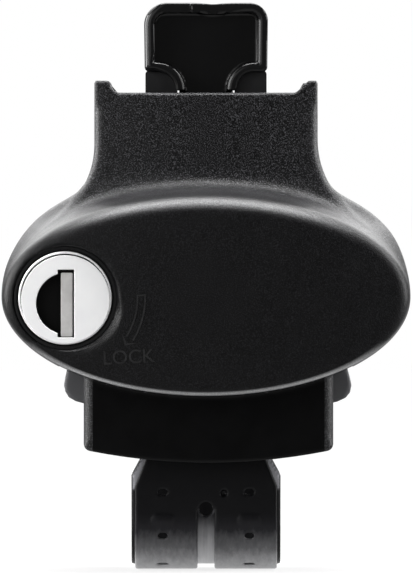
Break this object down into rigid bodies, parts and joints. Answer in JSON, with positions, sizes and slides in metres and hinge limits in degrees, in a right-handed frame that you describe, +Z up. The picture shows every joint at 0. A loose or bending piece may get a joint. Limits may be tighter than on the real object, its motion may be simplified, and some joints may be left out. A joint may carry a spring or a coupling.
{
  "type": "roof bar foot",
  "caption": "Foot that clamps a load bar to a raised roof rail: oval lockable cover, T-shaped bar tongue above, and a strap loop that wraps the rail below.",
  "frame": {"origin": "middle of the rail pad's underside, where the foot sits on the roof rail", "axes": "+X to the right seen from the lock side, -Y to the front with the lock, +Z up to the load bar"},
  "size_m": [0.0824, 0.068, 0.114],
  "materials": {
    "cover_plastic": "fine moulded grain",
    "sleeve_plastic": "smooth",
    "gloss_paint": "gloss black",
    "black_steel": "satin black",
    "zinc_steel": "zinc plated",
    "lock_chrome": "satin chrome",
    "pad_rubber": "matt",
    "strap_steel": "rolled",
    "strap_coat": "dull with a light bloom"
  },
  "bodies": {
    "foot": {"rail_pad": "pad_rubber", "base_plate": "black_steel", "base_screws": "zinc_steel", "hook_pin": "zinc_steel", "frame_channel": "black_steel", "thrust_plate": "black_steel", "rear_plate": "black_steel", "bolt_washer": "zinc_steel", "cover_catch": "zinc_steel", "catch_rivets": "zinc_steel", "rear_cover": "cover_plastic", "rear_cover_screws": "zinc_steel"},
    "cover": {"front_cover": "cover_plastic", "lock_sleeve": "sleeve_plastic", "sleeve_nut": "zinc_steel"},
    "lock": {"lock_core": "lock_chrome", "lock_cam": "zinc_steel", "cam_screw": "zinc_steel"},
    "bolt": {"tension_bolt": "zinc_steel", "bolt_clip": "zinc_steel"},
    "block": {"cam_block": "zinc_steel"},
    "tongue": {"bar_tongue": "gloss_paint", "tongue_pin": "zinc_steel"},
    "strap": {"strap_band": "strap_steel", "strap_cover": "strap_coat", "strap_pin": "zinc_steel", "strap_pin_clips": "zinc_steel"}
  },
  "joints": [
    {"name": "cover_pull", "type": "slide", "parent": "foot", "child": "cover", "axis": [0, -1, 0], "range_m": [0, 0.045]},
    {"name": "lock_turn", "type": "hinge", "parent": "cover", "child": "lock", "pos_m": [-0.0281, -0.03, 0.0214], "axis": [0, 1, 0], "range_deg": [0, 90]},
    {"name": "bolt_turn", "type": "hinge", "parent": "foot", "child": "bolt", "pos_m": [0, 0, 0.032], "axis": [0, -1, 0], "range_deg": [0, 1801]},
    {"name": "block_slide", "type": "slide", "parent": "foot", "child": "block", "axis": [0, 1, 0], "range_m": [0, 0.00625]},
    {"name": "tongue_rise", "type": "slide", "parent": "foot", "child": "tongue", "axis": [0, 0, 1], "range_m": [0, 0.0031]},
    {"name": "strap_swing", "type": "hinge", "parent": "foot", "child": "strap", "pos_m": [0, 0.0202, 0.008], "axis": [1, 0, 0], "range_deg": [0, 4.3]}
  ],
  "couplings": [
    {"joint": "bolt_turn", "follows": "block_slide", "rad_per_m": 5026.5},
    {"joint": "tongue_rise", "follows": "block_slide", "ratio": 0.48},
    {"joint": "strap_swing", "follows": "block_slide", "rad_per_m": 11.827}
  ]
}
